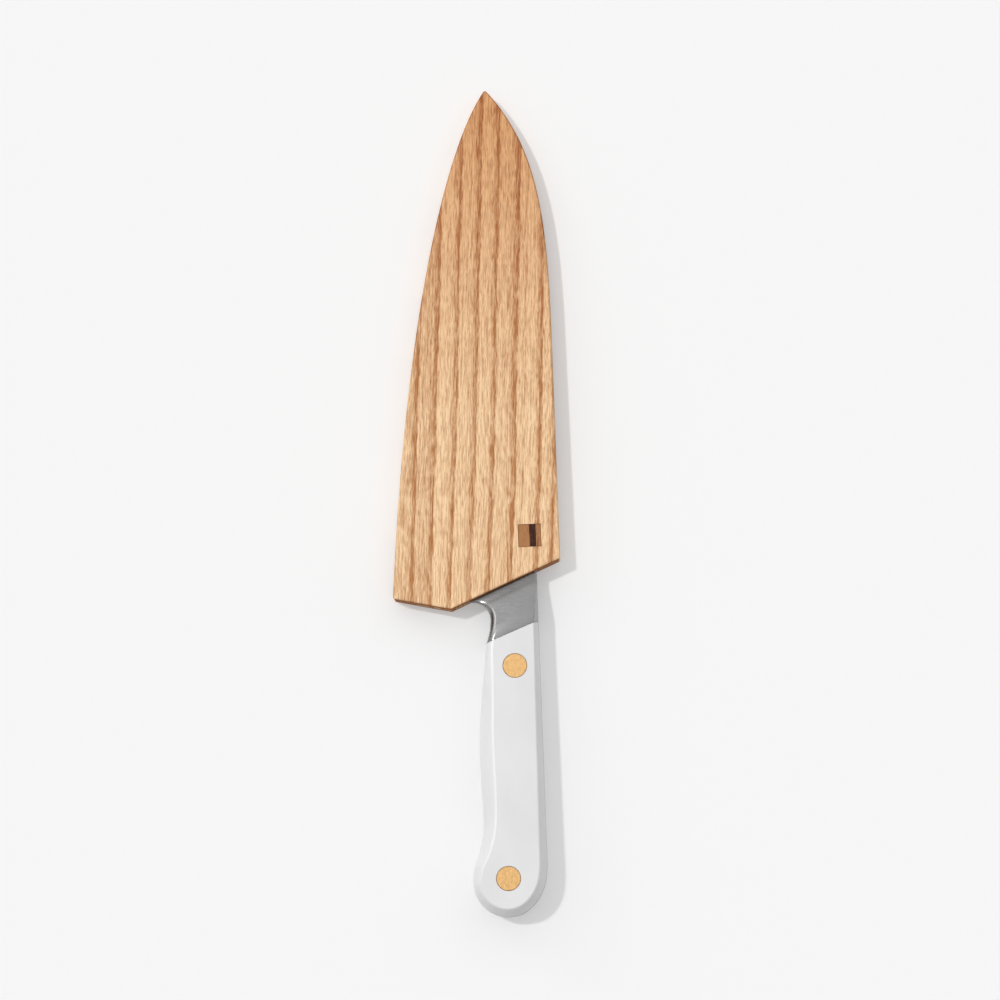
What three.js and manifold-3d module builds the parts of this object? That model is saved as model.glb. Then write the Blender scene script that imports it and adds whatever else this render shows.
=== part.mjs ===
import * as THREE from 'three';
import { mergeVertices } from 'three/addons/utils/BufferGeometryUtils.js';
import Module from 'manifold-3d';

// A full-tang chef's knife in its laminated wooden sheath, in millimetres.
// While it is drawn, x = 0 is the line of the spine, y = 0 the heel and z = 0 the middle of the
// blade: +y points to the tip, -x to the cutting edge and +z out of the front face.

// Blade
const bladeLength = 203;
const bladeHeight = 49.2;
const pointDrop = 14.2; // the point lies this far below the line of the spine
const spineFall = 89; // length of the spine's fall to the point
const spineThickness = 2.4;
const pointThickness = 1.2;
const edgeThickness = 0.4;
const pointBlunting = 0.4; // the last section stands this far short of the point
const edgeCurve = { early: [0.417, 0.118], late: [0.836, 0.5] }; // shares of a side's [reach, run]
const spineCurve = { early: [0.849, 0.24], late: [1, 0.526] };

// Bolster
const flankRise = 9.9; // the flank begins on the spine this far ahead of the heel
const flankAngle = 23; // lean of that line across the blade, in degrees
const flankEaseIn = 4; // length over which the flank's ramp begins
const flankEaseOut = 6; // length over which it levels out with the handle
const bolsterDepth = 19.65;
const choilRadius = 7.6;
const choilDrop = 2; // the choil begins this far behind the heel
const bolsterRounding = 3.2; // rounding of the flank's long edges at the handle
const flankRounding = 2.2; // the same where the flank begins, on the belly
const flankEase = 0.7; // and on the spine
const flankRoot = 4; // the first section lies this far inside the blade

// Handle
const seamDrop = 11.3; // the handle begins on the spine this far behind the heel
const seamAngle = 21.5;
const seamGap = 0.15;
const handleLength = 120;
const frontDepth = 21.5;
const gripDepth = 25.8;
const waistDepth = 25.4;
const buttDepth = 30.3;
const frontThickness = 16.5;
const buttThickness = 20;
const tangThickness = 3.6;
const handleRounding = 3.2;
const fingerRounding = 3.2; // added to the rounding where the fingers close
const fingerMiddle = 0.49; // share of the handle's length, from its start
const fingerReach = 0.4;
const facetFrom = 0.07; // shares of the length between which the belly's rounding turns into a facet
const facetTo = 0.3;
const gripShare = 0.38;
const waistShare = 0.67;
const flareCurve = [[0.893, 0.768], [0.975, 0.828]]; // shares of [the butt's depth, the length]
const endBelowSpine = 16; // the butt ends this far below the spine
const endRiseAtBelly = 14; // its round end begins this far ahead of it on the belly
const endRiseAtSpine = 20.4; // and ends this far ahead of it on the spine

// Rivets
const rivetHeadDiameter = 10;
const rivetHeadDepth = 2.2;
const rivetTubeDiameter = 6.8;
const rivetPinDiameter = 4.6;
const rivetFit = 0.1;
const frontRivetInset = 18.3; // behind the start of the handle
const frontRivetBelowSpine = 10.1;
const rearRivetInset = 15.2; // ahead of the butt
const rearRivetBelowSpine = 15.7;

// Sheath
const spineWall = 9.9;
const edgeWall = 10.2;
const tipWall = 11.85;
const tipRadius = 0.3; // on the flat face, inside the rim
const cornerRadius = 0.6;
const leafThickness = 3.5;
const rimRadius = 0.6;
const slotSideGap = 0.3; // between each face of the blade and its leaf
const slotEdgeGap = 0.8; // round the outline of the blade
const mouthGap = 0.3; // between the flank's first line and the mouth
const mouthLipFromSpine = 35.7; // the lowest corner of the mouth
const mouthEdgeRise = 0.3; // the mouth's corner on the edge side, ahead of the heel
const gluedMitre = 0.1;

// Burnt square on the front leaf
const markSize = 9.5;
const markDepth = 0.2;
const markFromSpine = 2.2;
const markFromHeel = 24.4;

// Magnets
const magnetCount = 3;
const magnetDiameter = 8;
const magnetThickness = 2;
const magnetRecess = 0.2;
const magnetFit = 0.1;
const magnetFromSpine = 13;
const magnetFromHeel = 40;
const magnetFromPoint = 52;

// Fineness of the faceted curves
const sideSteps = 24;
const cornerSteps = 4;
const rimSteps = 3;
const roundSides = 32;
const bladeStations = 20;
const stationCrowding = 1.5; // 1 is even, more crowds the blade's sections towards the point
const flankStations = 12;
const handleSteps = 5;
const endArcs = 4; // stations on each quarter of the round end

// Working allowances
const overcut = 1; // a cutter starts this far outside the face that it enters
const mitreLimit = 2; // longest corner of an outline that is drawn in, per unit of its inset
const arcClearance = 2; // a side stops this many radii short of the arc at its end
const halvings = 40; // steps of a search along a curve

const slotHeight = spineThickness + 2 * slotSideGap;
const tangFace = tangThickness / 2;
const flankSlope = Math.tan(THREE.MathUtils.degToRad(flankAngle));
const seamSlope = Math.tan(THREE.MathUtils.degToRad(seamAngle));
const handleStart = -seamDrop;
const flatSlope = (buttThickness - frontThickness) / 2 / handleLength;

const wasm = await Module();
wasm.setup();

function toSolid(geometry) {
  const bare = geometry.clone();
  bare.deleteAttribute('normal');
  bare.deleteAttribute('uv');
  const merged = mergeVertices(bare);
  return new wasm.Manifold(new wasm.Mesh({
    numProp: 3,
    vertProperties: new Float32Array(merged.attributes.position.array),
    triVerts: new Uint32Array(merged.index.array),
  }));
}

function toGeometry(solid) {
  const mesh = solid.getMesh();
  const geometry = new THREE.BufferGeometry();
  geometry.setAttribute('position', new THREE.BufferAttribute(mesh.vertProperties, 3));
  geometry.setIndex(new THREE.BufferAttribute(mesh.triVerts, 1));
  geometry.computeVertexNormals();
  return geometry;
}

function cut(geometry, tools) {
  let solid = toSolid(geometry);
  for (const tool of tools) solid = solid.subtract(toSolid(tool));
  return toGeometry(solid);
}

// Closed skin over rings of equally many points, with both ends capped.
function loft(rings, flatten) {
  const count = rings[0].length;
  const positions = rings.flat().flatMap((point) => [point.x, point.y, point.z]);
  let triangles = [];
  for (let ring = 0; ring + 1 < rings.length; ring += 1) {
    for (let step = 0; step < count; step += 1) {
      const here = ring * count + step;
      const next = ring * count + (step + 1) % count;
      triangles.push([here, next, next + count], [here, next + count, here + count]);
    }
  }
  const last = (rings.length - 1) * count;
  const startCap = THREE.ShapeUtils.triangulateShape(rings[0].map(flatten), []);
  const endCap = THREE.ShapeUtils.triangulateShape(rings.at(-1).map(flatten), []);
  const side = THREE.ShapeUtils.isClockWise(rings[0].map(flatten)) ? -1 : 1;
  for (const [a, b, c] of startCap) triangles.push(side > 0 ? [a, c, b] : [a, b, c]);
  for (const [a, b, c] of endCap) {
    triangles.push(side > 0 ? [last + a, last + b, last + c] : [last + a, last + c, last + b]);
  }
  const corner = (index) => new THREE.Vector3().fromArray(positions, 3 * index);
  const volume = triangles.reduce((sum, [a, b, c]) => {
    return sum + corner(a).dot(corner(b).cross(corner(c))) / 6;
  }, 0);
  if (volume < 0) triangles = triangles.map(([a, b, c]) => [a, c, b]);
  const geometry = new THREE.BufferGeometry();
  geometry.setAttribute('position', new THREE.Float32BufferAttribute(positions, 3));
  geometry.setIndex(triangles.flat());
  geometry.computeVertexNormals();
  return geometry;
}

const inPlan = (point) => new THREE.Vector2(point.x, point.y);
const inSection = (point) => new THREE.Vector2(point.x, point.z);

function lift(outline, height) {
  return outline.map((point) => new THREE.Vector3(point.x, point.y, height));
}

// Moves every point of a counter-clockwise outline inwards by distanceAt(point, inward). The straight
// line that closes an open outline stays where it is.
function insetOutline(outline, distanceAt, open = false) {
  return outline.map((point, index) => {
    const before = outline.at(index - 1);
    const after = outline[(index + 1) % outline.length];
    const arriving = point.clone().sub(before).normalize();
    const leaving = after.clone().sub(point).normalize();
    if (open && index === 0) arriving.copy(leaving);
    if (open && index === outline.length - 1) leaving.copy(arriving);
    const inward = arriving.clone().add(leaving).normalize();
    inward.set(-inward.y, inward.x);
    const mitre = 1 / Math.max(1 / mitreLimit, inward.dot(new THREE.Vector2(-leaving.y, leaving.x)));
    return point.clone().addScaledVector(inward, distanceAt(point, inward) * mitre);
  });
}

// One long side of the blade's outline, or of one grown from it: from the point to where it runs out.
function longSide(tip, end, curve) {
  const span = end.clone().sub(tip);
  const early = new THREE.Vector2().fromArray(curve.early).multiply(span).add(tip);
  const late = new THREE.Vector2().fromArray(curve.late).multiply(span).add(tip);
  return new THREE.CubicBezierCurve(tip, early, late, end);
}

// Both sides of the blade's outline, grown by the given walls.
function bladeSides(spineGrowth, edgeGrowth, tipGrowth, edgeEnd) {
  const tip = new THREE.Vector2(-pointDrop, bladeLength + tipGrowth);
  const heel = new THREE.Vector2(-bladeHeight - edgeGrowth, edgeEnd);
  const shoulder = new THREE.Vector2(spineGrowth, bladeLength - spineFall);
  return { tip, edge: longSide(tip, heel, edgeCurve), spine: longSide(tip, shoulder, spineCurve) };
}

// The x at which a side passes height y; past its end the side runs on straight along y.
function sideAt(side, y) {
  let low = 0;
  let high = 1;
  for (let step = 0; step < halvings; step += 1) {
    const middle = (low + high) / 2;
    if (side.getPoint(middle).y > y) low = middle;
    else high = middle;
  }
  return side.getPoint(high).x;
}

// Arc of the given radius in a convex corner of a counter-clockwise outline.
function roundCorner(before, corner, after, radius) {
  const arriving = before.clone().sub(corner).normalize();
  const leaving = after.clone().sub(corner).normalize();
  const halfAngle = Math.acos(arriving.dot(leaving)) / 2;
  const middle = arriving.clone().add(leaving).setLength(radius / Math.sin(halfAngle)).add(corner);
  const start = arriving.clone().setLength(radius / Math.tan(halfAngle)).add(corner);
  return Array.from({ length: cornerSteps + 1 }, (_, step) => {
    const turn = (Math.PI - 2 * halfAngle) * (step / cornerSteps);
    return start.clone().rotateAround(middle, turn);
  });
}

function pointOnFlankLine(x, shift) {
  return new THREE.Vector2(x, flankRise + shift + flankSlope * x);
}

// Mouth of the sheath: a slant beside the bolster's flank and a short return to the edge side.
const mouth = {
  spine: pointOnFlankLine(spineWall, mouthGap),
  lip: pointOnFlankLine(-mouthLipFromSpine, mouthGap),
  edge: new THREE.Vector2(-bladeHeight - edgeWall, mouthEdgeRise),
};

// Side curve sampled from its far end to the point, short of the arc that rounds the point.
function sideTowardsTip(side, arcRadius) {
  const points = side.getPoints(sideSteps).reverse();
  const tip = points.at(-1);
  return points.filter((point) => point.distanceTo(tip) > arcClearance * arcRadius);
}

// Counter-clockwise outline of the whole sheath.
function sheathOutline() {
  const sides = bladeSides(spineWall, edgeWall, tipWall, mouth.edge.y);
  const tipArc = rimRadius + tipRadius;
  const cornerArc = rimRadius + cornerRadius;
  const spine = sideTowardsTip(sides.spine, tipArc);
  const edge = sideTowardsTip(sides.edge, tipArc).reverse().slice(0, -1);
  return [
    ...roundCorner(mouth.lip, mouth.spine, spine[0], cornerArc),
    ...spine,
    ...roundCorner(spine.at(-1), sides.tip, edge[0], tipArc),
    ...edge,
    ...roundCorner(edge.at(-1), mouth.edge, mouth.lip, cornerArc),
    ...roundCorner(mouth.edge, mouth.lip, mouth.spine, cornerArc),
  ];
}

// Flat board with its outer rim rounded over; `face` is +1 on the front and -1 on the back.
function leafBoard(face) {
  const outline = sheathOutline();
  const inner = slotHeight / 2;
  const outer = inner + leafThickness;
  const rings = [lift(outline, face * inner)];
  for (let step = 0; step <= rimSteps; step += 1) {
    const turn = (step / rimSteps) * Math.PI / 2;
    const drawnIn = insetOutline(outline, () => rimRadius * (1 - Math.cos(turn)));
    rings.push(lift(drawnIn, face * (outer - rimRadius * (1 - Math.sin(turn)))));
  }
  return loft(rings, inPlan);
}

function uprightCylinder(radius, low, high) {
  const geometry = new THREE.CylinderGeometry(radius, radius, high - low, roundSides);
  geometry.rotateX(Math.PI / 2);
  geometry.translate(0, 0, (low + high) / 2);
  return geometry;
}

function magnetPlaces() {
  const span = bladeLength - magnetFromHeel - magnetFromPoint;
  const pitch = span / Math.max(1, magnetCount - 1);
  return Array.from({ length: magnetCount }, (_, index) => {
    return new THREE.Vector2(-magnetFromSpine, magnetFromHeel + index * pitch);
  });
}

function magnetPockets(face) {
  const floor = slotHeight / 2 + magnetRecess + magnetThickness + magnetFit;
  const over = slotHeight / 2 - overcut;
  const [low, high] = face > 0 ? [over, floor] : [-floor, -over];
  return magnetPlaces().map((place) => {
    return uprightCylinder(magnetDiameter / 2 + magnetFit, low, high).translate(place.x, place.y, 0);
  });
}

function markRecess() {
  const top = slotHeight / 2 + leafThickness;
  const recess = new THREE.BoxGeometry(markSize, markSize, 2 * markDepth);
  return recess.translate(-markFromSpine, markFromHeel, top);
}

// The slot that the blade slides in, open past the mouth.
function slotOutline() {
  const sides = bladeSides(slotEdgeGap, slotEdgeGap, slotEdgeGap, mouth.edge.y);
  const below = mouth.lip.y - leafThickness;
  return [
    new THREE.Vector2(slotEdgeGap, below),
    ...sides.spine.getPoints(sideSteps).reverse(),
    ...sides.edge.getPoints(sideSteps).slice(1),
    new THREE.Vector2(-bladeHeight - slotEdgeGap, below),
  ];
}

// One half of the core: the sheath's outline without the slot, split along the middle of the tip.
function coreStrip(side) {
  const outline = sheathOutline();
  const core = loft([lift(outline, -slotHeight / 2), lift(outline, slotHeight / 2)], inPlan);
  const slot = loft([lift(slotOutline(), -slotHeight), lift(slotOutline(), slotHeight)], inPlan);
  const reach = 2 * bladeLength;
  const otherHalf = new THREE.BoxGeometry(reach, 2 * reach, 2 * slotHeight);
  otherHalf.translate(-pointDrop - side * (reach - gluedMitre) / 2, 0, 0);
  return cut(core, [slot, otherHalf]);
}

// Flat-ground blade: wedge sections from the heel to the point. The first one slants back from the
// heel through the top of the choil.
function bladeWedge() {
  const sides = bladeSides(0, 0, 0, 0);
  const heelFall = choilDrop * bladeHeight / (bladeHeight - bolsterDepth - choilRadius);
  const rings = [];
  for (let station = 0; station <= bladeStations; station += 1) {
    const share = 1 - (1 - station / bladeStations) ** stationCrowding;
    const y = (bladeLength - pointBlunting) * share;
    const back = THREE.MathUtils.lerp(spineThickness, pointThickness, share) / 2;
    const edge = Math.min(edgeThickness / 2, back);
    const spineX = sideAt(sides.spine, y);
    const edgeX = sideAt(sides.edge, y);
    const spineY = station > 0 ? y : -heelFall;
    rings.push([
      new THREE.Vector3(edgeX, y, -edge),
      new THREE.Vector3(spineX, spineY, -back),
      new THREE.Vector3(spineX, spineY, back),
      new THREE.Vector3(edgeX, y, edge),
    ]);
  }
  return loft(rings, inSection);
}

// Half thickness of the handle at y.
function handleHalf(y) {
  return frontThickness / 2 + flatSlope * (handleStart - y);
}

// A long edge from its wall to its flat, as a facet and as a round of some share of the height:
// [share of width, share of height].
const facetEdge = [[0, 0], [0.28, 0.42], [0.56, 0.78], [0.78, 0.94], [1, 1]];
const roundShare = 0.47;

function roundEdge(share) {
  return [[0, 0], [0, 1 - share], [0.134, 1 - 0.5 * share], [0.5, 1 - 0.134 * share], [1, 1]];
}

// Underside of the bolster, from the choil's hollow to the handle.
const bellyTop = -choilDrop - choilRadius;

function bellyAt(y) {
  const seamAtBelly = handleStart - seamSlope * frontDepth;
  if (y >= -choilDrop) return -bolsterDepth - choilRadius;
  if (y > bellyTop) {
    return -bolsterDepth - choilRadius + Math.sqrt(choilRadius ** 2 - (y - bellyTop) ** 2);
  }
  const share = (bellyTop - y) / (bellyTop - seamAtBelly);
  return THREE.MathUtils.lerp(-bolsterDepth, -frontDepth, share ** 2);
}

function bellyOnLine(spineY, slope) {
  let low = -bladeHeight;
  let high = 0;
  for (let step = 0; step < halvings; step += 1) {
    const middle = (low + high) / 2;
    if (middle > bellyAt(spineY + slope * middle)) high = middle;
    else low = middle;
  }
  return high;
}

// Share of a ramp's height at `done` of its length, with a steady slope between its eased ends.
function easedRamp(done, length) {
  const slope = 1 / (length - (flankEaseIn + flankEaseOut) / 2);
  if (done < flankEaseIn) return slope * done ** 2 / (2 * flankEaseIn);
  if (done > length - flankEaseOut) return 1 - slope * (length - done) ** 2 / (2 * flankEaseOut);
  return slope * (done - flankEaseIn / 2);
}

// Bolster: slanted sections that swell from the blade to the handle. Thin ones are round over all
// their height.
function bolster() {
  const length = flankRise + seamDrop;
  const buried = -flankRoot / length;
  const roundHeight = roundShare * (handleHalf(handleStart) - tangFace);
  const rings = [];
  for (let station = -1; station <= flankStations; station += 1) {
    const share = station < 0 ? buried : station / flankStations;
    const spineY = flankRise - length * share;
    const done = Math.max(0, share);
    const slope = THREE.MathUtils.lerp(flankSlope, seamSlope, done);
    const start = station < 0 ? edgeThickness / 2 : spineThickness / 2;
    const half = THREE.MathUtils.lerp(start, handleHalf(handleStart), easedRamp(length * done, length));
    const wall = Math.min(tangFace, THREE.MathUtils.lerp(0.1 * half, tangFace, done));
    const belly = THREE.MathUtils.lerp(flankRounding, bolsterRounding, done);
    const spine = THREE.MathUtils.lerp(flankEase, bolsterRounding, done ** 2);
    const rounds = roundEdge(Math.min(0.95, roundHeight / (half - wall)));
    const bellyX = bellyOnLine(spineY, slope);
    const overTop = [
      ...rounds.map(([across, up]) => [bellyX + belly * across, up]),
      ...facetEdge.map(([across, up]) => [-spine * across, up]).reverse(),
    ].map(([x, up]) => new THREE.Vector3(x, spineY + slope * x, wall + (half - wall) * up));
    const below = overTop.map((point) => new THREE.Vector3(point.x, point.y, -point.z)).reverse();
    rings.push([...overTop, ...below]);
  }
  return loft(rings, inSection);
}

// Round end of the handle, from the belly to the spine: a quarter of an ellipse each.
function buttEnd() {
  const belly = new THREE.Vector2(buttDepth - endBelowSpine, endRiseAtBelly);
  const spine = new THREE.Vector2(endBelowSpine, endRiseAtSpine);
  return Array.from({ length: 2 * endArcs + 1 }, (_, step) => {
    const turn = Math.PI * (1 + step / (2 * endArcs));
    const radii = step < endArcs ? belly : spine;
    const x = radii.x * Math.cos(turn) - endBelowSpine;
    return new THREE.Vector2(x, handleStart - handleLength + radii.y * (1 + Math.sin(turn)));
  });
}

// Counter-clockwise outline of the handle, carried forward under the bolster.
function handleOutline() {
  const along = (share) => handleStart - share * handleLength;
  const stations = [
    new THREE.Vector2(-bolsterDepth, bellyTop),
    new THREE.Vector2(-frontDepth, handleStart - seamSlope * frontDepth),
    new THREE.Vector2(-gripDepth, along(gripShare)),
    new THREE.Vector2(-waistDepth, along(waistShare)),
    ...flareCurve.map(([depth, length]) => new THREE.Vector2(-depth * buttDepth, along(length))),
    ...buttEnd(),
  ];
  const curve = new THREE.SplineCurve(stations);
  return [...curve.getPoints((stations.length - 1) * handleSteps), new THREE.Vector2(0, bellyTop)];
}

// Width of the rounding at a point of the handle's outline, wider under the fingers.
function roundingAt(point, inward) {
  const along = (handleStart - point.y) / handleLength;
  const closeness = Math.max(0, 1 - ((along - fingerMiddle) / fingerReach) ** 2);
  return handleRounding + fingerRounding * closeness * Math.max(0, inward.x);
}

// How far the long edge has turned from a round into a facet at a point of the handle's outline.
function facetAt(point) {
  if (point.x > -frontDepth / 2) return 1;
  return THREE.MathUtils.smoothstep((handleStart - point.y) / handleLength, facetFrom, facetTo);
}

function uncutScale(face) {
  const outline = handleOutline();
  const rounds = roundEdge(roundShare);
  const rings = facetEdge.map((facet, step) => {
    const blend = (axis, point) => THREE.MathUtils.lerp(rounds[step][axis], facet[axis], facetAt(point));
    const widthAt = (point, inward) => blend(0, point) * roundingAt(point, inward);
    const drawnIn = insetOutline(outline, widthAt, true);
    return drawnIn.map((point, index) => {
      const height = THREE.MathUtils.lerp(tangFace, handleHalf(point.y), blend(1, outline[index]));
      return new THREE.Vector3(point.x, point.y, face * height);
    });
  });
  return loft(rings, inPlan);
}

// Everything ahead of the seam between bolster and handle.
function aheadOfSeam() {
  const reach = 4 * buttThickness;
  const block = new THREE.BoxGeometry(8 * frontDepth, reach, reach);
  block.translate(0, reach / 2 - seamGap, 0);
  block.rotateZ(THREE.MathUtils.degToRad(seamAngle));
  return block.translate(0, handleStart, 0);
}

// Everything outside the flat of one scale.
function outsideFlat(face) {
  const reach = 4 * handleLength;
  const block = new THREE.BoxGeometry(reach, reach, 2 * headStock);
  block.translate(0, 0, face * headStock);
  block.rotateX(-face * Math.atan(flatSlope));
  return block.translate(0, handleStart, face * frontThickness / 2);
}

const rivetPlaces = {
  front: new THREE.Vector2(-frontRivetBelowSpine, handleStart - frontRivetInset),
  rear: new THREE.Vector2(-rearRivetBelowSpine, handleStart - handleLength + rearRivetInset),
};

// Half length of a rivet before its heads are ground flush with the scales.
const headStock = Math.max(frontThickness, buttThickness) / 2 + overcut;

function rivetSeat(place) {
  return handleHalf(place.y) - rivetHeadDepth;
}

function rivetHoles(face) {
  return Object.values(rivetPlaces).flatMap((place) => {
    const seat = rivetSeat(place);
    const top = buttThickness;
    const [low, high] = face > 0 ? [seat - rivetFit, top] : [-top, rivetFit - seat];
    return [
      uprightCylinder(rivetTubeDiameter / 2 + rivetFit, -top, top).translate(place.x, place.y, 0),
      uprightCylinder(rivetHeadDiameter / 2 + rivetFit, low, high).translate(place.x, place.y, 0),
    ];
  });
}

function handleScale(face) {
  return cut(uncutScale(face), [aheadOfSeam(), ...rivetHoles(face)]);
}

// Blade, bolster and tang in one forging, with the tang drilled for the rivets.
function knifeForging() {
  const outline = handleOutline();
  const tang = loft([lift(outline, -tangFace), lift(outline, tangFace)], inPlan);
  const whole = toSolid(bladeWedge()).add(toSolid(bolster())).add(toSolid(tang));
  const holes = Object.values(rivetPlaces).map((place) => {
    const hole = uprightCylinder(rivetTubeDiameter / 2 + rivetFit, -buttThickness, buttThickness);
    return hole.translate(place.x, place.y, 0);
  });
  return cut(toGeometry(whole), holes);
}

// Revolved about z from [radius, height] pairs that start and end on the axis.
function revolved(profile) {
  const points = profile.map(([radius, height]) => new THREE.Vector2(radius, height));
  return new THREE.LatheGeometry(points, roundSides).rotateX(Math.PI / 2);
}

// Socket half of a cutler's rivet: the front head and the tube that passes through the tang.
function rivetSocket(place) {
  const seat = rivetSeat(place);
  const tubeEnd = rivetFit - seat;
  const socket = revolved([
    [0, seat],
    [rivetPinDiameter / 2 + rivetFit, seat],
    [rivetPinDiameter / 2 + rivetFit, tubeEnd],
    [rivetTubeDiameter / 2, tubeEnd],
    [rivetTubeDiameter / 2, seat],
    [rivetHeadDiameter / 2, seat],
    [rivetHeadDiameter / 2, headStock],
    [0, headStock],
  ]);
  return cut(socket, [outsideFlat(1).translate(-place.x, -place.y, 0)]);
}

// Pin half: the back head and the pin that is driven into the tube.
function rivetPinHalf(place) {
  const seat = rivetSeat(place);
  const pinEnd = seat - rivetHeadDepth / 2;
  const pin = revolved([
    [0, -headStock],
    [rivetHeadDiameter / 2, -headStock],
    [rivetHeadDiameter / 2, -seat],
    [rivetPinDiameter / 2, -seat],
    [rivetPinDiameter / 2, pinEnd],
    [0, pinEnd],
  ]);
  return cut(pin, [outsideFlat(-1).translate(-place.x, -place.y, 0)]);
}

const finishes = {
  ash: { color: 0xddb289, roughness: 0.6, metalness: 0 },
  steel: { color: 0x9b9c9d, roughness: 0.35, metalness: 1 },
  whitePolymer: { color: 0xe6e6e3, roughness: 0.35, metalness: 0 },
  brass: { color: 0xe0ae6c, roughness: 0.3, metalness: 1 },
  nickel: { color: 0xc9cbcd, roughness: 0.25, metalness: 1 },
};

function piece(name, geometry, finish) {
  const mesh = new THREE.Mesh(geometry, new THREE.MeshStandardMaterial(finishes[finish]));
  mesh.name = name;
  return mesh;
}

function makeSheath() {
  const sheath = new THREE.Group();
  sheath.add(
    piece('sheath_front_leaf', cut(leafBoard(1), [...magnetPockets(1), markRecess()]), 'ash'),
    piece('sheath_back_leaf', cut(leafBoard(-1), magnetPockets(-1)), 'ash'),
    piece('edge_core_strip', coreStrip(-1), 'ash'),
    piece('spine_core_strip', coreStrip(1), 'ash'),
  );
  const names = { front: 1, back: -1 };
  const middle = slotHeight / 2 + magnetRecess + magnetThickness / 2;
  for (const [leaf, face] of Object.entries(names)) {
    magnetPlaces().forEach((place, index) => {
      const disc = uprightCylinder(magnetDiameter / 2, -magnetThickness / 2, magnetThickness / 2);
      const magnet = piece(`magnet_${leaf}_${index + 1}`, disc, 'nickel');
      magnet.position.set(place.x, place.y, face * middle);
      sheath.add(magnet);
    });
  }
  return sheath;
}

function makeKnife() {
  const knife = new THREE.Group();
  knife.add(
    piece('knife_forging', knifeForging(), 'steel'),
    piece('handle_scale_front', handleScale(1), 'whitePolymer'),
    piece('handle_scale_back', handleScale(-1), 'whitePolymer'),
  );
  for (const [end, place] of Object.entries(rivetPlaces)) {
    const socket = piece(`rivet_socket_${end}`, rivetSocket(place), 'brass');
    const pin = piece(`rivet_pin_${end}`, rivetPinHalf(place), 'brass');
    socket.position.set(place.x, place.y, 0);
    pin.position.set(place.x, place.y, 0);
    knife.add(socket, pin);
  }
  return knife;
}

const assembly = new THREE.Group();
assembly.add(makeSheath(), makeKnife());

// The origin is under the middle of the object, on the surface that its handle rests on.
const bounds = new THREE.Box3().setFromObject(assembly, true);
const centre = bounds.getCenter(new THREE.Vector3());
assembly.position.set(-centre.x, -centre.y, -bounds.min.z);
assembly.updateMatrixWorld(true);

export default assembly;
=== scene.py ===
import math

import bmesh
import bpy
from mathutils import Matrix, Vector


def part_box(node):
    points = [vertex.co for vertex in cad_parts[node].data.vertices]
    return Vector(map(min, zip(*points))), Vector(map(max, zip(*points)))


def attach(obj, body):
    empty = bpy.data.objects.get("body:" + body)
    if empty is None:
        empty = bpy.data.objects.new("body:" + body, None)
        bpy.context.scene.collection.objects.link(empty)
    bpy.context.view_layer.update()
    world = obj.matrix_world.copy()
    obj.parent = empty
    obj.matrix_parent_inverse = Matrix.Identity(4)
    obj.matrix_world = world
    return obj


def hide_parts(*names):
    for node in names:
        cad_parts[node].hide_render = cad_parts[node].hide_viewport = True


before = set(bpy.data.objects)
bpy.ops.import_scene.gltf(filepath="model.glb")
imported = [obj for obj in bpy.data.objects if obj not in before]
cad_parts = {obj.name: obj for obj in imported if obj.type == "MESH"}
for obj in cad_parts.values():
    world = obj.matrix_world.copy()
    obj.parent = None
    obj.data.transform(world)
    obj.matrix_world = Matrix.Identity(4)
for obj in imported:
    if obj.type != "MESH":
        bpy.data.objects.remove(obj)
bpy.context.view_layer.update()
mm = 0.001

# Drawing sizes are in millimetres from the spine line, the heel and the middle of the blade:
# +y runs to the point, -x to the cutting edge, +z out of the front face.
blade = {
    "length": 203.0,
    "height": 49.2,
    "pointDrop": 14.2,
    "spineFall": 89.0,
    "pointBlunting": 0.4,
    "spine": 2.4,            # thickness along the back
    "pointSpine": 1.2,
    "edge": 0.4,
    "honed": 0.06,           # what the last bevel leaves of the edge
    "honedWidth": 0.9,
    "spineEase": 0.3,
    "stations": 96,
    "crowding": 1.5,         # more sections towards the point
    "edgeCurve": ((0.417, 0.118), (0.836, 0.5)),
    "spineCurve": ((0.849, 0.24), (1.0, 0.526)),
}
sheath = {
    "spineWall": 9.9,
    "edgeWall": 10.2,
    "tipWall": 11.85,
    "tipRadius": 0.9,
    "cornerRadius": 1.2,
    "leaf": 3.5,
    "slot": 3.0,
    "slotEdgeGap": 0.8,
    "rimRadius": 0.75,
    "glueEase": 0.14,        # tiny chamfer that shows the glue line
    "mouthGap": 0.3,
    "lipFromSpine": 35.7,
    "edgeRise": 0.3,         # the mouth's corner on the edge side, ahead of the heel
    "mitre": 0.1,
    "sideSteps": 90,
    "arcSteps": 10,
    "rimSteps": 8,
}
bolsterSizes = {
    "rise": 9.9,             # the flank begins this far ahead of the heel
    "angle": 23.0,
    "easeIn": 4.0,           # lengths over which the ramp begins and levels out
    "easeOut": 6.0,
    "depth": 19.65,
    "choil": 7.6,
    "choilDrop": 2.0,
    "rounding": 3.2,
    "firstRounding": 2.2,    # where the flank begins, on the belly and on the spine
    "firstEase": 0.7,
    "spineRounding": 2.1,    # at the seam
    "root": 4.0,
    "stations": 44,
}
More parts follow.
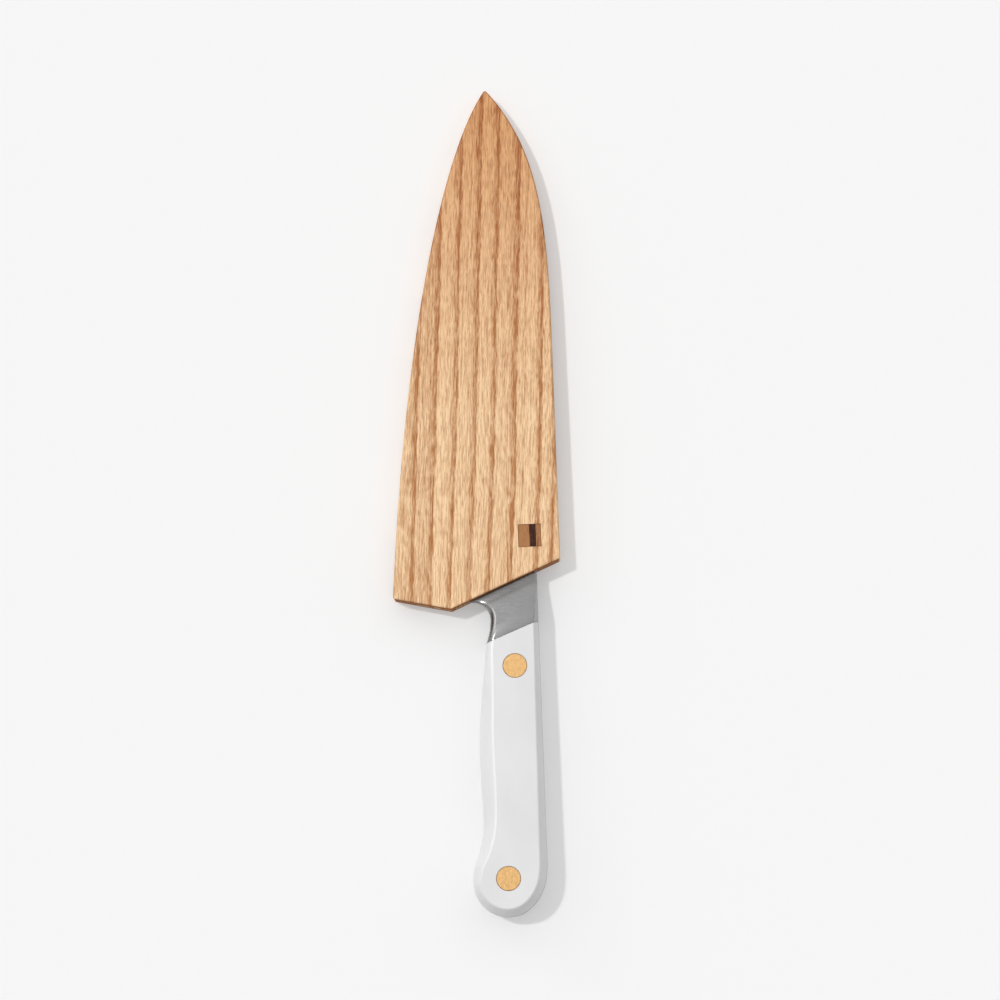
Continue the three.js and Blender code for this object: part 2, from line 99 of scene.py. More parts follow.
handle = {
    "seamDrop": 11.3,
    "seamAngle": 21.5,
    "seamGap": 0.15,
    "length": 120.0,
    "frontDepth": 21.5,
    "gripDepth": 25.8,
    "gripShare": 0.38,
    "waistDepth": 25.4,
    "waistShare": 0.67,
    "buttDepth": 30.3,
    "flare": ((0.893, 0.768), (0.975, 0.828)),   # shares of the butt's depth and the handle's length
    "endBelow": 16.0,        # the round end is lowest this far below the spine
    "endAtBelly": 14.0,
    "endAtSpine": 20.4,
    "endArcs": 4,
    "front": 16.5,
    "butt": 20.0,
    "tang": 3.6,
    "rounding": 3.2,
    "fingerRounding": 3.2,
    "fingerMiddle": 0.49,
    "fingerReach": 0.4,
    "spineGrowth": 0.75,     # share of the length where the spine's facet has its full width
    "facetFrom": 0.07,       # the belly's long edge turns from a round into a facet here
    "facetTo": 0.3,
    "facet": ((0.0, 0.0), (0.38, 0.6), (0.66, 1.0), (1.0, 1.0)),
    "roundHeight": 0.47,
    "profileSteps": 12,
    "spanSteps": 18,
}

frontLow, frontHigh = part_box("sheath_front_leaf")
backLow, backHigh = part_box("sheath_back_leaf")
forgingLow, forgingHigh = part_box("knife_forging")
datum = Vector((
    frontHigh.x - sheath["spineWall"] * mm,
    forgingHigh.y - (blade["length"] - blade["pointBlunting"]) * mm,
    (frontHigh.z + backLow.z) / 2,
))
flankSlope = math.tan(math.radians(bolsterSizes["angle"]))
seamSlope = math.tan(math.radians(handle["seamAngle"]))
handleStart = -handle["seamDrop"]
flatSlope = (handle["butt"] - handle["front"]) / 2 / handle["length"]
tangFace = handle["tang"] / 2


def at(x, y, z):
    return datum + Vector((x, y, z)) * mm


def mix(a, b, share):
    return a + (b - a) * share


def easeInOut(share):
    share = min(1.0, max(0.0, share))
    return share * share * (3 - 2 * share)


# mesh helpers

def asObject(name, mesh):
    data = bpy.data.meshes.new(name)
    mesh.to_mesh(data)
    mesh.free()
    piece = bpy.data.objects.new(name, data)
    bpy.context.scene.collection.objects.link(piece)
    return piece


def loft(name, rings):
    mesh = bmesh.new()
    rows = [[mesh.verts.new(at(*point)) for point in ring] for ring in rings]
    for row, following in zip(rows, rows[1:]):
        for i in range(len(row)):
            j = (i + 1) % len(row)
            mesh.faces.new((row[i], row[j], following[j], following[i]))
    mesh.faces.new(rows[0][::-1])
    mesh.faces.new(rows[-1])
    bmesh.ops.recalc_face_normals(mesh, faces=mesh.faces)
    return asObject(name, mesh)


def post(name, x, y, radius, low, high, sides=64):
    ring = [(x + radius * math.cos(math.tau * i / sides), y + radius * math.sin(math.tau * i / sides))
            for i in range(sides)]
    return loft(name, [[(*point, low) for point in ring], [(*point, high) for point in ring]])


def block(name, low, high, turn=0.0, pivot=(0.0, 0.0)):
    corners = [(low[0], low[1]), (high[0], low[1]), (high[0], high[1]), (low[0], high[1])]
    turned = [(pivot[0] + x * math.cos(turn) - y * math.sin(turn),
               pivot[1] + x * math.sin(turn) + y * math.cos(turn)) for x, y in corners]
    return loft(name, [[(*point, low[2]) for point in turned], [(*point, high[2]) for point in turned]])


def settle(piece):
    bpy.context.view_layer.update()
    view = bpy.context.evaluated_depsgraph_get()
    done = bpy.data.meshes.new_from_object(piece.evaluated_get(view))
    piece.modifiers.clear()
    piece.data = done
    done.name = piece.name


def combine(piece, tools, operation):
    for tool in tools:
        step = piece.modifiers.new(tool.name, "BOOLEAN")
        step.operation = operation
        step.solver = "EXACT"
        step.object = tool
    settle(piece)
    for tool in tools:
        bpy.data.objects.remove(tool)
    # points that the cut left in the middle of an edge
    mesh = bmesh.new()
    mesh.from_mesh(piece.data)
    spare = [point for point in mesh.verts if len(point.link_edges) == 2]
    bmesh.ops.dissolve_verts(mesh, verts=spare)
    mesh.to_mesh(piece.data)
    mesh.free()
    print(piece.name, "cut,", len(spare), "spare points taken out")


def shade(piece, sharpAngle, *flats):
    # rounded faces are smooth, and faces square to one of the flat directions stay flat
    piece.data.shade_smooth()
    piece.data.set_sharp_from_angle(angle=math.radians(sharpAngle))
    flats = [Vector(flat).normalized() for flat in flats or [(0, 0, 1)]]
    for face in piece.data.polygons:
        if any(abs(face.normal.dot(flat)) > 0.99999 for flat in flats):
            face.use_smooth = False


def dress(piece, material, body, slotName, *nodes):
    if material:
        piece.data.materials.clear()
        piece.data.materials.append(material)
    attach(piece, body)
    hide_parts(*nodes)
    print(piece.name, "made:", len(piece.data.polygons), "faces")


# outlines

def bezier(points, t):
    a, b, c, d = (Vector(point) for point in points)
    s = 1 - t
    return a * s ** 3 + b * 3 * s * s * t + c * 3 * s * t * t + d * t ** 3


def longSide(tip, end, shares):
    span = end - tip
    controls = [Vector((tip.x + span.x * x, tip.y + span.y * y)) for x, y in shares]
    return (tip, *controls, end)


def bladeSides(spineGrowth, edgeGrowth, tipGrowth, edgeEnd):
    tip = Vector((-blade["pointDrop"], blade["length"] + tipGrowth))
    heel = Vector((-blade["height"] - edgeGrowth, edgeEnd))
    shoulder = Vector((spineGrowth, blade["length"] - blade["spineFall"]))
    return tip, longSide(tip, heel, blade["edgeCurve"]), longSide(tip, shoulder, blade["spineCurve"])


def sampled(side, steps):
    # from the far end to the point
    return [bezier(side, 1 - i / steps) for i in range(steps + 1)]


def sideAt(side, y):
    low, high = 0.0, 1.0
    for _ in range(40):
        middle = (low + high) / 2
        if bezier(side, middle).y > y:
            low = middle
        else:
            high = middle
    return bezier(side, high).x


def turned(point, centre, angle):
    arm = point - centre
    return centre + Vector((arm.x * math.cos(angle) - arm.y * math.sin(angle),
                            arm.x * math.sin(angle) + arm.y * math.cos(angle)))


def roundCorner(before, corner, after, radius):
    arriving = (before - corner).normalized()
    leaving = (after - corner).normalized()
    half = math.acos(arriving.dot(leaving)) / 2
    centre = corner + (arriving + leaving).normalized() * (radius / math.sin(half))
    start = corner + arriving * (radius / math.tan(half))
    steps = sheath["arcSteps"]
    return [turned(start, centre, (math.pi - 2 * half) * i / steps) for i in range(steps + 1)]


def onFlankLine(x, shift):
    return Vector((x, bolsterSizes["rise"] + shift + flankSlope * x))


mouthSpine = onFlankLine(sheath["spineWall"], sheath["mouthGap"])
mouthLip = onFlankLine(-sheath["lipFromSpine"], sheath["mouthGap"])
mouthEdge = Vector((-blade["height"] - sheath["edgeWall"], sheath["edgeRise"]))


def sheathOutline():
    tip, edgeSide, spineSide = bladeSides(
        sheath["spineWall"], sheath["edgeWall"], sheath["tipWall"], mouthEdge.y)
    keep = 2 * sheath["tipRadius"]
    spine = [p for p in sampled(spineSide, sheath["sideSteps"]) if (p - tip).length > keep]
    edge = [p for p in sampled(edgeSide, sheath["sideSteps"]) if (p - tip).length > keep][1:]
    edge.reverse()
    corner = sheath["cornerRadius"]
    return [
        *roundCorner(mouthLip, mouthSpine, spine[0], corner),
        *spine,
        *roundCorner(spine[-1], tip, edge[0], sheath["tipRadius"]),
        *edge,
        *roundCorner(edge[-1], mouthEdge, mouthLip, corner),
        *roundCorner(mouthEdge, mouthLip, mouthSpine, corner),
    ]


def inset(outline, distance, openEnds=False):
    # distance is a number, or a function of the point and its inward direction
    last = len(outline) - 1
    moved = []
    for i, point in enumerate(outline):
        arriving = (point - outline[i - 1]).normalized()
        leaving = (outline[(i + 1) % len(outline)] - point).normalized()
        if openEnds and i == 0:
            arriving = leaving
        if openEnds and i == last:
            leaving = arriving
        along = (arriving + leaving).normalized()
        inward = Vector((-along.y, along.x))
        mitre = 1 / max(0.5, inward.dot(Vector((-leaving.y, leaving.x))))
        width = distance(point, inward) if callable(distance) else distance
        moved.append(point + inward * width * mitre)
    return moved


def lift(outline, height):
    return [(p.x, p.y, height) for p in outline]


# node helpers

def addNode(tree, kind, inputs=None, **settings):
    made = tree.nodes.new(kind)
    for key, value in settings.items():
        setattr(made, key, value)
    for key, value in (inputs or {}).items():
        if isinstance(value, bpy.types.NodeSocket):
            tree.links.new(value, made.inputs[key])
        else:
            made.inputs[key].default_value = value
    return made


def calc(tree, operation, first, second=0.5, clamp=False):
    return addNode(tree, "ShaderNodeMath", {0: first, 1: second},
                   operation=operation, use_clamp=clamp).outputs[0]


def remap(tree, value, fromLow, fromHigh, toLow=0.0, toHigh=1.0, smooth=False):
    return addNode(tree, "ShaderNodeMapRange", {
        "Value": value, "From Min": fromLow, "From Max": fromHigh, "To Min": toLow, "To Max": toHigh,
    }, interpolation_type="SMOOTHSTEP" if smooth else "LINEAR").outputs[0]


def swayed(tree, value, grey, reach, clamp=False):
    # moves a value by a noise that lies round one half
    swing = calc(tree, "MULTIPLY", calc(tree, "SUBTRACT", grey), reach)
    return calc(tree, "ADD", value, swing, clamp)


def mixed(tree, first, second, share):
    return calc(tree, "ADD", calc(tree, "MULTIPLY", first, 1 - share), calc(tree, "MULTIPLY", second, share))


def dotted(tree, vector, direction):
    return addNode(tree, "ShaderNodeVectorMath", {0: vector, 1: direction},
                   operation="DOT_PRODUCT").outputs["Value"]


def combined(tree, x=0.0, y=0.0, z=0.0):
    return addNode(tree, "ShaderNodeCombineXYZ", {0: x, 1: y, 2: z}).outputs[0]


def blendColour(tree, share, first, second, how="MIX"):
    made = addNode(tree, "ShaderNodeMix", {0: share, 6: first, 7: second},
                   data_type="RGBA", blend_type=how)
    return made.outputs[2]


def colour(r, g, b):
    # a screen colour from 0 to 255, as the linear colour that a socket takes
    def linear(value):
        value /= 255
        return value / 12.92 if value <= 0.04045 else ((value + 0.055) / 1.055) ** 2.4
    return (linear(r), linear(g), linear(b), 1.0)


def startMaterial(name):
    material = bpy.data.materials.new(name)
    material.use_nodes = True
    tree = material.node_tree
    shader = tree.nodes["Principled BSDF"]
    return material, tree, shader


def placed(tree, turn=0.0, shift=(0.0, 0.0, 0.0)):
    # object coordinates in millimetres
    coordinates = addNode(tree, "ShaderNodeTexCoord")
    return addNode(tree, "ShaderNodeMapping", {
        "Vector": coordinates.outputs["Object"],
        "Location": shift,
        "Rotation": (0.0, 0.0, turn),
        "Scale": (1 / mm, 1 / mm, 1 / mm),
    }).outputs[0]


def noise(tree, place, sizes, detail=2.0, roughness=0.5):
    # features of the given sizes (mm) along x, y and z
    drawn = addNode(tree, "ShaderNodeVectorMath", {0: place, 1: tuple(1 / size for size in sizes)},
                    operation="MULTIPLY").outputs[0]
    return addNode(tree, "ShaderNodeTexNoise", {
        "Vector": drawn, "Scale": 1.0, "Detail": detail, "Roughness": roughness,
    }).outputs[0]


def bumped(tree, shader, height, strength, depth):
    made = addNode(tree, "ShaderNodeBump", {"Strength": strength, "Distance": depth * mm, "Height": height})
    tree.links.new(made.outputs[0], shader.inputs["Normal"])


# ash: rings that end sharply on one side, streaks and open pores along the grain, darker end grain with
# painted shade
ash = {
    "lean": 3.25,            # degrees that the grain turns off the blade's line
    # rings across the front leaf: (mm where the dark band ends, its depth, its width, tone after it)
    "rings": ((-31.9, 0.8, 3.2, 0.3), (-23.9, 0.9, 3.0, 0.34), (-16.2, 0.85, 3.2, 0.16),
              (-8.0, 0.85, 3.0, 0.2), (0.4, 0.85, 3.4, 0.18), (8.0, 0.85, 3.0, 0.24),
              (16.8, 0.92, 3.4, 0.2), (20.2, 0.5, 1.0, 0.16), (27.3, 0.9, 3.2, 0.2),
              (33.4, 0.85, 3.0, 0.3)),
    "ringPeak": 0.12,        # a band is darkest this share of its width before its end
    "ringEdge": 0.45,
    "span": (-37.0, 37.0),
    "tilt": 0.25,            # rings lean through the thickness of the board
    # sizes of the figure across and along the grain; a bend also has the mm that it moves the rings
    "bends": ((60.0, 110.0, 2.4), (7.0, 30.0, 0.7), (0.8, 6.0, 1.6)),
    "uneven": (2.5, 16.0),
    "streak": (0.75, 13.0),
    "fibre": (0.4, 4.2),
    "dash": (0.38, 4.5),
    "endDot": (0.35, 3.0),
    "ringRange": (0.82, 1.16),
    "streakWeight": 1.7,
    "fibreWeight": 1.7,
    "poreWeight": 0.6,
    "light": colour(246, 210, 166),
    "dark": colour(178, 117, 66),
    "pore": colour(140, 82, 42),
    # end grain colours: their own darker tone, with painted shade in them
    "endGrainShadeLight": colour(180, 113, 58),
    "endGrainShadeDark": colour(132, 77, 37),
    "tipTint": (0.78, 0.575, 0.41, 1.0),
    "tintFrom": 30.0,
    "tintTo": 170.0,
    "rimShadeTint": (0.66, 0.53, 0.37, 1.0),   # painted shade: the rounded rim darker, more so towards the tip
}


def grainNoise(tree, grain, sizes, detail, roughness=0.5):
    across, along = sizes
    return noise(tree, grain, (across, along, across), detail, roughness)


def ashFigure(tree, shift):
    grain = placed(tree, math.radians(ash["lean"]), shift)
    apart = addNode(tree, "ShaderNodeSeparateXYZ", {0: grain})
    across = apart.outputs[0]
    # the rings bend slowly, waver and have ragged sides
    for *sizes, reach in ash["bends"]:
        across = swayed(tree, across, grainNoise(tree, grain, sizes, 1.0), reach)
    across = calc(tree, "ADD", across, calc(tree, "MULTIPLY", apart.outputs[2], ash["tilt"]))
    low, high = ash["span"]
    wrapped = addNode(tree, "ShaderNodeMath", {0: across, 1: high, 2: low}, operation="WRAP").outputs[0]
    ramp = addNode(tree, "ShaderNodeValToRGB", {"Fac": remap(tree, wrapped, low, high)})
    stops = []
    before = ash["rings"][-1][3]
    for place, depth, width, after in ash["rings"]:
        stops += [(place - width, before), (place - width * ash["ringPeak"], depth),
                  (place + ash["ringEdge"], after)]
        before = after + 0.1
    ramp.color_ramp.interpolation = "EASE"
    elements = ramp.color_ramp.elements
    while len(elements) < len(stops):
        elements.new(1.0)
    for element, (place, depth) in zip(elements, stops):
        element.position = (place - low) / (high - low)
        element.color = (depth, depth, depth, 1.0)
    uneven = remap(tree, grainNoise(tree, grain, ash["uneven"], 2.0), 0.3, 0.7, *ash["ringRange"])
    ring = calc(tree, "MULTIPLY", ramp.outputs[0], uneven)
    streak = grainNoise(tree, grain, ash["streak"], 2.0)
    fibre = grainNoise(tree, grain, ash["fibre"], 3.0, 0.65)
    pores = remap(tree, grainNoise(tree, grain, ash["dash"], 1.0), 0.55, 0.65, smooth=True)
    pores = calc(tree, "MULTIPLY", pores, remap(tree, ring, 0.0, 1.0, 0.3, 1.0))
    return grain, apart.outputs[1], ring, fibre, streak, pores


def makeAsh(name, shift=(0.0, 0.0, 0.0)):
    material, tree, shader = startMaterial(name)
    grain, along, ring, fibre, streak, pores = ashFigure(tree, shift)
    tone = swayed(tree, ring, streak, ash["streakWeight"])
    tone = swayed(tree, tone, fibre, ash["fibreWeight"], clamp=True)
    wood = blendColour(tree, tone, ash["light"], ash["dark"])
    wood = blendColour(tree, calc(tree, "MULTIPLY", pores, ash["poreWeight"]), wood, ash["pore"])
    towardsTip = remap(tree, along, ash["tintFrom"], ash["tintTo"])
    wood = blendColour(tree, towardsTip, wood, ash["tipTint"], "MULTIPLY")
    normal = addNode(tree, "ShaderNodeTexCoord").outputs["Normal"]
    facing = addNode(tree, "ShaderNodeSeparateXYZ", {0: normal}).outputs
    # painted shade on the rounded rim, growing towards the tip
    level = calc(tree, "ABSOLUTE", facing[2])
    rim = calc(tree, "MULTIPLY", remap(tree, level, 0.1, 0.4), remap(tree, level, 0.9, 0.99, 1.0, 0.0))
    wood = blendColour(tree, calc(tree, "MULTIPLY", rim, towardsTip), wood, ash["rimShadeTint"], "MULTIPLY")
    # faces cut across the grain: darker end grain, with painted shade in it
    cutAcross = remap(tree, calc(tree, "ABSOLUTE", facing[1]), 0.66, 0.9, smooth=True)
    dots = grainNoise(tree, grain, ash["endDot"], 2.0)
    ends = blendColour(tree, remap(tree, dots, 0.35, 0.65), ash["endGrainShadeLight"], ash["endGrainShadeDark"])
    wood = blendColour(tree, cutAcross, wood, ends)
    tree.links.new(wood, shader.inputs["Base Color"])
    rough = calc(tree, "ADD", remap(tree, ring, 0.0, 1.0, 0.52, 0.66), calc(tree, "MULTIPLY", pores, 0.12))
    tree.links.new(rough, shader.inputs["Roughness"])
    tree.links.new(remap(tree, cutAcross, 0.0, 1.0, 0.3, 0.06), shader.inputs["Specular IOR Level"])
    height = calc(tree, "SUBTRACT", calc(tree, "MULTIPLY", fibre, 0.4), pores)
    bumped(tree, shader, height, 0.5, 0.08)
    return material


burn = {
    "size": 9.5,
    "fromSpine": 2.2,
    "fromHeel": 24.4,
    "depth": 0.2,
    "light": colour(172, 118, 72),
    "dark": colour(58, 30, 21),
    "rim": colour(96, 54, 30),
    "rimWidth": 0.45,
    "stripe": (-0.2, 2.75),  # the dark late wood that runs through it, from its middle
    "ragged": 2.2,
}


def makeBurn(name, shift):
    material, tree, shader = startMaterial(name)
    *_, fibre, streak, pores = ashFigure(tree, shift)
    middle = at(-burn["fromSpine"], burn["fromHeel"], 0)
    coordinates = addNode(tree, "ShaderNodeTexCoord").outputs["Object"]
    offset = addNode(tree, "ShaderNodeVectorMath", {0: coordinates, 1: middle},
                     operation="SUBTRACT").outputs[0]
    parts = addNode(tree, "ShaderNodeSeparateXYZ", {0: offset})
    across = swayed(tree, parts.outputs[0], streak, burn["ragged"] * mm)
    left, right = burn["stripe"]
    late = calc(tree, "MULTIPLY", remap(tree, across, (left - 0.4) * mm, (left + 0.5) * mm, smooth=True),
                remap(tree, parts.outputs[0], (right - 0.3) * mm, right * mm, 1.0, 0.0, smooth=True))
    tone = swayed(tree, late, fibre, 0.9)
    tone = calc(tree, "ADD", tone, calc(tree, "MULTIPLY", pores, 0.4), clamp=True)
    scorched = blendColour(tree, tone, burn["light"], burn["dark"])
    # darker towards the border
    sideways, lengthways = (calc(tree, "ABSOLUTE", parts.outputs[i]) for i in (0, 1))
    reach = calc(tree, "MAXIMUM", sideways, lengthways)
    half = burn["size"] / 2
    border = remap(tree, reach, (half - burn["rimWidth"]) * mm, half * mm, 0.0, 0.8, smooth=True)
    scorched = blendColour(tree, border, scorched, burn["rim"])
    tree.links.new(scorched, shader.inputs["Base Color"])
    tree.links.new(remap(tree, tone, 0.0, 1.0, 0.6, 0.8), shader.inputs["Roughness"])
    shader.inputs["Specular IOR Level"].default_value = 0.25
    bumped(tree, shader, calc(tree, "SUBTRACT", fibre, pores), 0.6, 0.1)
    return material


# satin steel, brushed across the blade, so that its highlights draw out along it
steelFinish = {
    "light": (0.355, 0.355, 0.356, 1.0),
    "dark": (0.285, 0.285, 0.287, 1.0),
    "roughness": (0.24, 0.3),
    "drawnOut": 0.65,
    "tangTint": (0.72, 0.72, 0.72, 1.0),     # the tang's edge behind the seam, darker and rougher
    "tangRoughness": 0.56,
}


def makeSteel(name):
    material, tree, shader = startMaterial(name)
    place = placed(tree)
    lines = noise(tree, place, (22.0, 0.3, 0.3), 3.0, 0.65)
    cloud = noise(tree, place, (9.0, 14.0, 9.0), 2.0)
    tone = remap(tree, mixed(tree, lines, cloud, 0.4), 0.35, 0.65)
    # 0 ahead of the seam, 1 on the tang
    seam = at(0, handleStart, 0)
    behind = dotted(tree, addNode(tree, "ShaderNodeTexCoord").outputs["Object"], (seamSlope, -1.0, 0.0))
    ground = seamSlope * seam.x - seam.y
    onTang = remap(tree, behind, ground, ground + 0.3 * mm)
    bare = blendColour(tree, tone, steelFinish["dark"], steelFinish["light"])
    bare = blendColour(tree, onTang, bare, steelFinish["tangTint"], "MULTIPLY")
    tree.links.new(bare, shader.inputs["Base Color"])
    sheen = remap(tree, lines, 0.3, 0.7, *steelFinish["roughness"])
    rougher = calc(tree, "MULTIPLY", onTang, steelFinish["tangRoughness"])
    tree.links.new(calc(tree, "MAXIMUM", sheen, rougher), shader.inputs["Roughness"])
    shader.inputs["Metallic"].default_value = 1.0
    shader.inputs["Anisotropic"].default_value = steelFinish["drawnOut"]
    tree.links.new(combined(tree, y=1.0), shader.inputs["Tangent"])
    bumped(tree, shader, lines, 0.12, 0.02)
    return material


def coat(tree, shader, finish, tone, wear):
    # tone runs from the dark colour to the light one, wear over the roughness
    paint = blendColour(tree, remap(tree, tone, *finish["toneSpan"]), finish["dark"], finish["light"])
    tree.links.new(paint, shader.inputs["Base Color"])
    tree.links.new(remap(tree, wear, *finish["wearSpan"], *finish["roughness"]), shader.inputs["Roughness"])


# white moulded scales with a semi-gloss skin
polymer = {
    "light": colour(223, 223, 223),
    "dark": colour(218, 218, 218),
    "roughness": (0.33, 0.41),
    "toneSpan": (0.35, 0.65),
    "wearSpan": (0.35, 0.65),
}


def makePolymer(name):
    material, tree, shader = startMaterial(name)
    place = placed(tree)
    cloud = noise(tree, place, (16.0, 30.0, 16.0), 3.0)
    skin = noise(tree, place, (0.7, 0.9, 0.7), 3.0)
    wipes = noise(tree, place, (0.5, 14.0, 0.5), 2.0)
    coat(tree, shader, polymer, cloud, mixed(tree, wipes, cloud, 0.5))
    shader.inputs["IOR"].default_value = 1.49
    bumped(tree, shader, skin, 0.12, 0.02)
    return material


# brass ground flush, with fine scratches one way
brassFinish = {
    "light": (0.68, 0.425, 0.19, 1.0),
    "dark": (0.5, 0.3, 0.122, 1.0),
    "roughness": (0.36, 0.48),
    "toneSpan": (0.38, 0.62),
    "wearSpan": (0.3, 0.7),
}


def makeBrass(name):
    material, tree, shader = startMaterial(name)
    place = placed(tree, math.radians(12))
    scratches = noise(tree, place, (0.5, 1.1, 0.5), 3.0, 0.65)
    cloud = noise(tree, place, (2.2, 2.2, 2.2), 2.0)
    coat(tree, shader, brassFinish, mixed(tree, scratches, cloud, 0.2), scratches)
    shader.inputs["Metallic"].default_value = 1.0
    bumped(tree, shader, scratches, 0.2, 0.02)
    return material


# plated magnets
nickelFinish = {
    "light": (0.62, 0.63, 0.64, 1.0),
    "dark": (0.5, 0.51, 0.53, 1.0),
    "roughness": (0.18, 0.32),
    "toneSpan": (0.35, 0.65),
    "wearSpan": (0.35, 0.65),
}


def makeNickel(name):
    material, tree, shader = startMaterial(name)
    place = placed(tree)
    cloud = noise(tree, place, (0.8, 0.8, 0.8), 3.0)
    coat(tree, shader, nickelFinish, cloud, cloud)
    shader.inputs["Metallic"].default_value = 1.0
    bumped(tree, shader, cloud, 0.1, 0.02)
    return material


frontFace = (0.0, 0.0, -frontHigh.z / mm)
ashFront = makeAsh("ashFront", frontFace)
ashBack = makeAsh("ashBack", (21.0, 60.0, 4.0))
ashCore = makeAsh("ashCore", (9.0, -140.0, -7.0))
burnt = makeBurn("burntSquare", frontFace)
steel = makeSteel("satinSteel")
white = makePolymer("whitePolymer")
brass = makeBrass("satinBrass")
nickel = makeNickel("nickelPlate")
print("finishes made")

# magnets: three facing pairs let into the leaves
magnets = {
    "count": 3,
    "diameter": 8.0,
    "thickness": 2.0,
    "recess": 0.2,
    "fit": 0.1,
    "ease": 0.25,
    "fromSpine": 13.0,
    "fromHeel": 40.0,
    "fromPoint": 52.0,
    "sides": 48,
}


def magnetPlaces():
    pitch = (blade["length"] - magnets["fromHeel"] - magnets["fromPoint"]) / (magnets["count"] - 1)
    return [(-magnets["fromSpine"], magnets["fromHeel"] + i * pitch) for i in range(magnets["count"])]


# sheath leaves: flat boards with a rounded rim, a tiny chamfer at the glue line and magnet pockets

def leafBoard(name, face):
    outline = sheathOutline()
    inner = sheath["slot"] / 2
    outer = inner + sheath["leaf"]
    ease = sheath["glueEase"]
    rings = [lift(inset(outline, ease), face * inner), lift(outline, face * (inner + ease))]
    radius = sheath["rimRadius"]
    for step in range(sheath["rimSteps"] + 1):
        turn = step / sheath["rimSteps"] * math.pi / 2
        drawn = inset(outline, radius * (1 - math.cos(turn)))
        rings.append(lift(drawn, face * (outer - radius * (1 - math.sin(turn)))))
    leaf = loft(name, rings)
    floor = inner + magnets["recess"] + magnets["thickness"] + magnets["fit"]
    pockets = []
    for i, (x, y) in enumerate(magnetPlaces()):
        low, high = sorted((face * (inner - 1), face * floor))
        pockets.append(post(f"pocket{i}", x, y, magnets["diameter"] / 2 + magnets["fit"], low, high))
    combine(leaf, pockets, "DIFFERENCE")
    return leaf


def burnSquare(leaf):
    half = burn["size"] / 2
    x, y = -burn["fromSpine"], burn["fromHeel"]
    top = sheath["slot"] / 2 + sheath["leaf"]
    square = block("burnCutter", (x - half, y - half, top - burn["depth"]), (x + half, y + half, top + 1))
    combine(leaf, [square], "DIFFERENCE")
    leaf.data.materials.append(burnt)
    face = at(x, y, top)
    for polygon in leaf.data.polygons:
        offset = polygon.center - face
        inside = max(abs(offset.x), abs(offset.y)) < (half + 0.01) * mm
        if inside and -2 * burn["depth"] * mm < offset.z < -0.1 * burn["depth"] * mm:
            polygon.material_index = 1


leafFront = leafBoard("leafFront", 1)
leafFront.data.materials.append(ashFront)
burnSquare(leafFront)
leafBack = leafBoard("leafBack", -1)
leafBack.data.materials.append(ashBack)
for leaf in (leafFront, leafBack):
    shade(leaf, 35)
dress(leafFront, None, "sheath", "ash", "sheath_front_leaf")
dress(leafBack, None, "sheath", "ash", "sheath_back_leaf")


# core strips: the same outline round the slot, mitred at the tip

def slotOutline():
    gap = sheath["slotEdgeGap"]
    tip, edgeSide, spineSide = bladeSides(gap, gap, gap, mouthEdge.y)
    below = mouthLip.y - sheath["leaf"]
    edge = sampled(edgeSide, sheath["sideSteps"])[::-1]
    return [Vector((gap, below)), *sampled(spineSide, sheath["sideSteps"]), *edge[1:],
            Vector((-blade["height"] - gap, below))]


def coreStrip(name, side):
    outline = sheathOutline()
    half = sheath["slot"] / 2
    ease = sheath["glueEase"]
    eased = inset(outline, ease)
    strip = loft(name, [lift(eased, -half), lift(outline, ease - half),
                        lift(outline, half - ease), lift(eased, half)])
    slot = loft("slotCutter", [lift(slotOutline(), -2 * half), lift(slotOutline(), 2 * half)])
    reach = 2 * blade["length"]
    middle = -blade["pointDrop"] - side * (reach - sheath["mitre"]) / 2
    other = block("otherHalf", (middle - reach / 2, -reach, -2 * half), (middle + reach / 2, reach, 2 * half))
    combine(strip, [slot, other], "DIFFERENCE")
    shade(strip, 35)
    return strip


dress(coreStrip("coreEdge", -1), ashCore, "sheath", "ash", "edge_core_strip")
dress(coreStrip("coreSpine", 1), ashCore, "sheath", "ash", "spine_core_strip")


# forging: ground blade, half bolster and full tang

bellyTop = -bolsterSizes["choilDrop"] - bolsterSizes["choil"]


def bladeWedge():
    # the first section slants back from the heel through the top of the choil
    tip, edgeSide, spineSide = bladeSides(0, 0, 0, 0)
    heelSlope = bolsterSizes["choilDrop"] / (blade["height"] - bolsterSizes["depth"] - bolsterSizes["choil"])
    rings = []
    for station in range(blade["stations"] + 1):
        share = 1 - (1 - station / blade["stations"]) ** blade["crowding"]
        y = (blade["length"] - blade["pointBlunting"]) * share
        back = mix(blade["spine"], blade["pointSpine"], share) / 2
        spineX, edgeX = sideAt(spineSide, y), sideAt(edgeSide, y)
        depth = spineX - edgeX
        honed = min(blade["honedWidth"], 0.3 * depth)
        ease = min(blade["spineEase"], 0.15 * depth)
        shoulder = mix(blade["edge"] / 2, back, honed / depth)
        over = [(edgeX, blade["honed"] / 2), (edgeX + honed, shoulder), (spineX - ease, back),
                (spineX, back - 0.8 * ease)]
        slant = 0.0 if station else heelSlope
        ring = [(x, y - slant * (x - edgeX), z) for x, z in over]
        rings.append(ring + [(x, y, -z) for x, y, z in reversed(ring)])
    return loft("forging", rings)


def bellyAt(y):
    choil, depth = bolsterSizes["choil"], bolsterSizes["depth"]
    seamAtBelly = handleStart - seamSlope * handle["frontDepth"]
    if y >= -bolsterSizes["choilDrop"]:
        return -depth - choil
    if y > bellyTop:
        return -depth - choil + math.sqrt(choil ** 2 - (y - bellyTop) ** 2)
    return mix(-depth, -handle["frontDepth"], ((bellyTop - y) / (bellyTop - seamAtBelly)) ** 2)


def bellyOnLine(spineY, slope):
    low, high = -blade["height"], 0.0
    for _ in range(40):
        middle = (low + high) / 2
        if middle > bellyAt(spineY + slope * middle):
            high = middle
        else:
            low = middle
    return high


def handleHalf(y):
    return handle["front"] / 2 + flatSlope * (handleStart - y)


def facetEdge(steps):
    # a long edge from its wall to its flat, as shares of its width and height
    return [tuple(bezier(handle["facet"], i / steps)) for i in range(steps + 1)]


